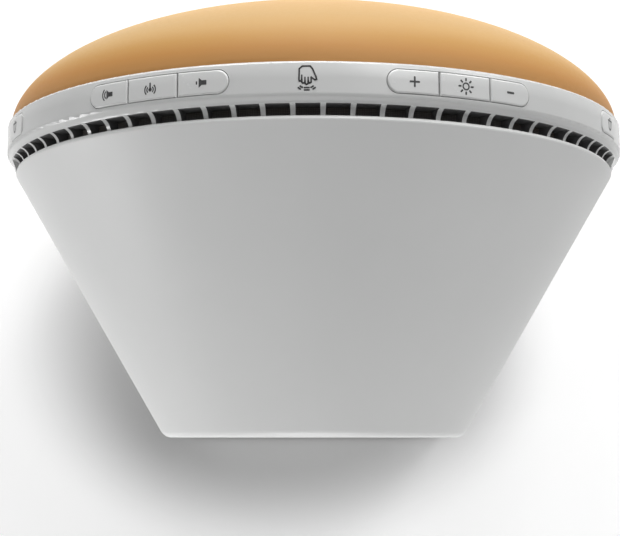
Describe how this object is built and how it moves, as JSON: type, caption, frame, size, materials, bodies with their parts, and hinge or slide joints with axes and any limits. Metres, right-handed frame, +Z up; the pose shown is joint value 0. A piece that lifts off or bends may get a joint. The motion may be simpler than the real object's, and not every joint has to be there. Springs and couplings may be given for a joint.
{
  "type": "sunrise alarm clock",
  "caption": "Bedside wake-up light: a glowing dome in a round rim with touch keys and air vents, on a tapering rear housing with a flat base.",
  "frame": {"origin": "middle of the bounding box, on the table under the four feet", "axes": "+Z up, -Y is the front with the glowing dome, +X is to the right of a person facing the clock"},
  "size_m": [0.19, 0.1296, 0.183],
  "materials": {
    "frosted_dome": "frosted translucent, lit warm from inside",
    "white_shell": "glossy white",
    "key_plastic": "glossy white",
    "black_plastic": "fine matt",
    "green_board": "solder resist",
    "white_board": "white solder resist",
    "white_reflector": "diffuse white",
    "lamp_resin": "yellow resin",
    "display_glass": "smoked",
    "ribbon_film": "amber film",
    "copper_foil": "bright",
    "steel": "satin",
    "painted_steel": "satin black",
    "brass": "bright",
    "chip_resin": "moulded",
    "connector_plastic": "cream nylon",
    "capacitor_can": "sleeved can",
    "mesh_fabric": "fine black mesh",
    "paper_cone": "pressed paper",
    "rubber": "matt"
  },
  "bodies": {
    "case": {"light_dome": "frosted_dome", "rim_ring": "white_shell", "rear_housing": "white_shell", "base_plate": "white_shell", "battery_door": "white_shell", "coin_cell": "steel", "coin_cell_holder": "black_plastic", "inner_chassis": "black_plastic", "dust_mesh": "mesh_fabric", "key_board": "green_board", "snooze_touch_pad": "copper_foil", "touch_contact": "copper_foil", "led_board": "white_board", "led_packages": "lamp_resin", "reflector": "white_reflector", "display_shroud": "black_plastic", "display_board": "green_board", "display_module": "display_glass", "display_ribbon": "ribbon_film", "main_board": "green_board", "board_chips": "chip_resin", "radio_shield": "steel", "board_connectors": "connector_plastic", "board_capacitors": "capacitor_can", "tact_switches": "black_plastic", "speaker_gasket": "rubber", "speaker_frame": "painted_steel", "speaker_magnet": "painted_steel", "speaker_surround": "rubber", "speaker_cone": "paper_cone", "speaker_dust_cap": "paper_cone", "dc_inlet": "black_plastic", "dc_inlet_pin": "brass", "antenna_bush": "rubber", "rubber_feet": "rubber", "housing_screws": "steel", "base_screws": "steel", "battery_door_screw": "steel", "chassis_screws": "steel", "board_screws": "steel", "reflector_screws": "steel", "speaker_screws": "steel"},
    "volume_down_key": {"volume_down_button": "key_plastic", "volume_down_plunger": "black_plastic"},
    "radio_key": {"radio_button": "key_plastic", "radio_plunger": "black_plastic"},
    "volume_up_key": {"volume_up_button": "key_plastic", "volume_up_plunger": "black_plastic"},
    "light_up_key": {"light_up_button": "key_plastic", "light_up_plunger": "black_plastic"},
    "light_key": {"light_button": "key_plastic", "light_plunger": "black_plastic"},
    "light_down_key": {"light_down_button": "key_plastic", "light_down_plunger": "black_plastic"},
    "alarm_one_key": {"alarm_one_button": "key_plastic", "alarm_one_plunger": "black_plastic"},
    "alarm_two_key": {"alarm_two_button": "key_plastic", "alarm_two_plunger": "black_plastic"}
  },
  "joints": [
    {"name": "volume_down_press", "type": "slide", "parent": "case", "child": "volume_down_key", "axis": [-0.2798, 0, -0.96], "range_m": [0, 0.0005], "stiffness_N_per_m": 800, "springref_m": -0.0003},
    {"name": "radio_press", "type": "slide", "parent": "case", "child": "radio_key", "axis": [-0.4226, 0, -0.9063], "range_m": [0, 0.0005], "stiffness_N_per_m": 800, "springref_m": -0.0003},
    {"name": "volume_up_press", "type": "slide", "parent": "case", "child": "volume_up_key", "axis": [-0.5519, 0, -0.8339], "range_m": [0, 0.0005], "stiffness_N_per_m": 800, "springref_m": -0.0003},
    {"name": "light_up_press", "type": "slide", "parent": "case", "child": "light_up_key", "axis": [0.2798, 0, -0.96], "range_m": [0, 0.0005], "stiffness_N_per_m": 800, "springref_m": -0.0003},
    {"name": "light_press", "type": "slide", "parent": "case", "child": "light_key", "axis": [0.4226, 0, -0.9063], "range_m": [0, 0.0005], "stiffness_N_per_m": 800, "springref_m": -0.0003},
    {"name": "light_down_press", "type": "slide", "parent": "case", "child": "light_down_key", "axis": [0.5519, 0, -0.8339], "range_m": [0, 0.0005], "stiffness_N_per_m": 800, "springref_m": -0.0003},
    {"name": "alarm_one_press", "type": "slide", "parent": "case", "child": "alarm_one_key", "axis": [-0.898, 0, -0.4399], "range_m": [0, 0.0005], "stiffness_N_per_m": 800, "springref_m": -0.0003},
    {"name": "alarm_two_press", "type": "slide", "parent": "case", "child": "alarm_two_key", "axis": [0.898, 0, -0.4399], "range_m": [0, 0.0005], "stiffness_N_per_m": 800, "springref_m": -0.0003}
  ]
}
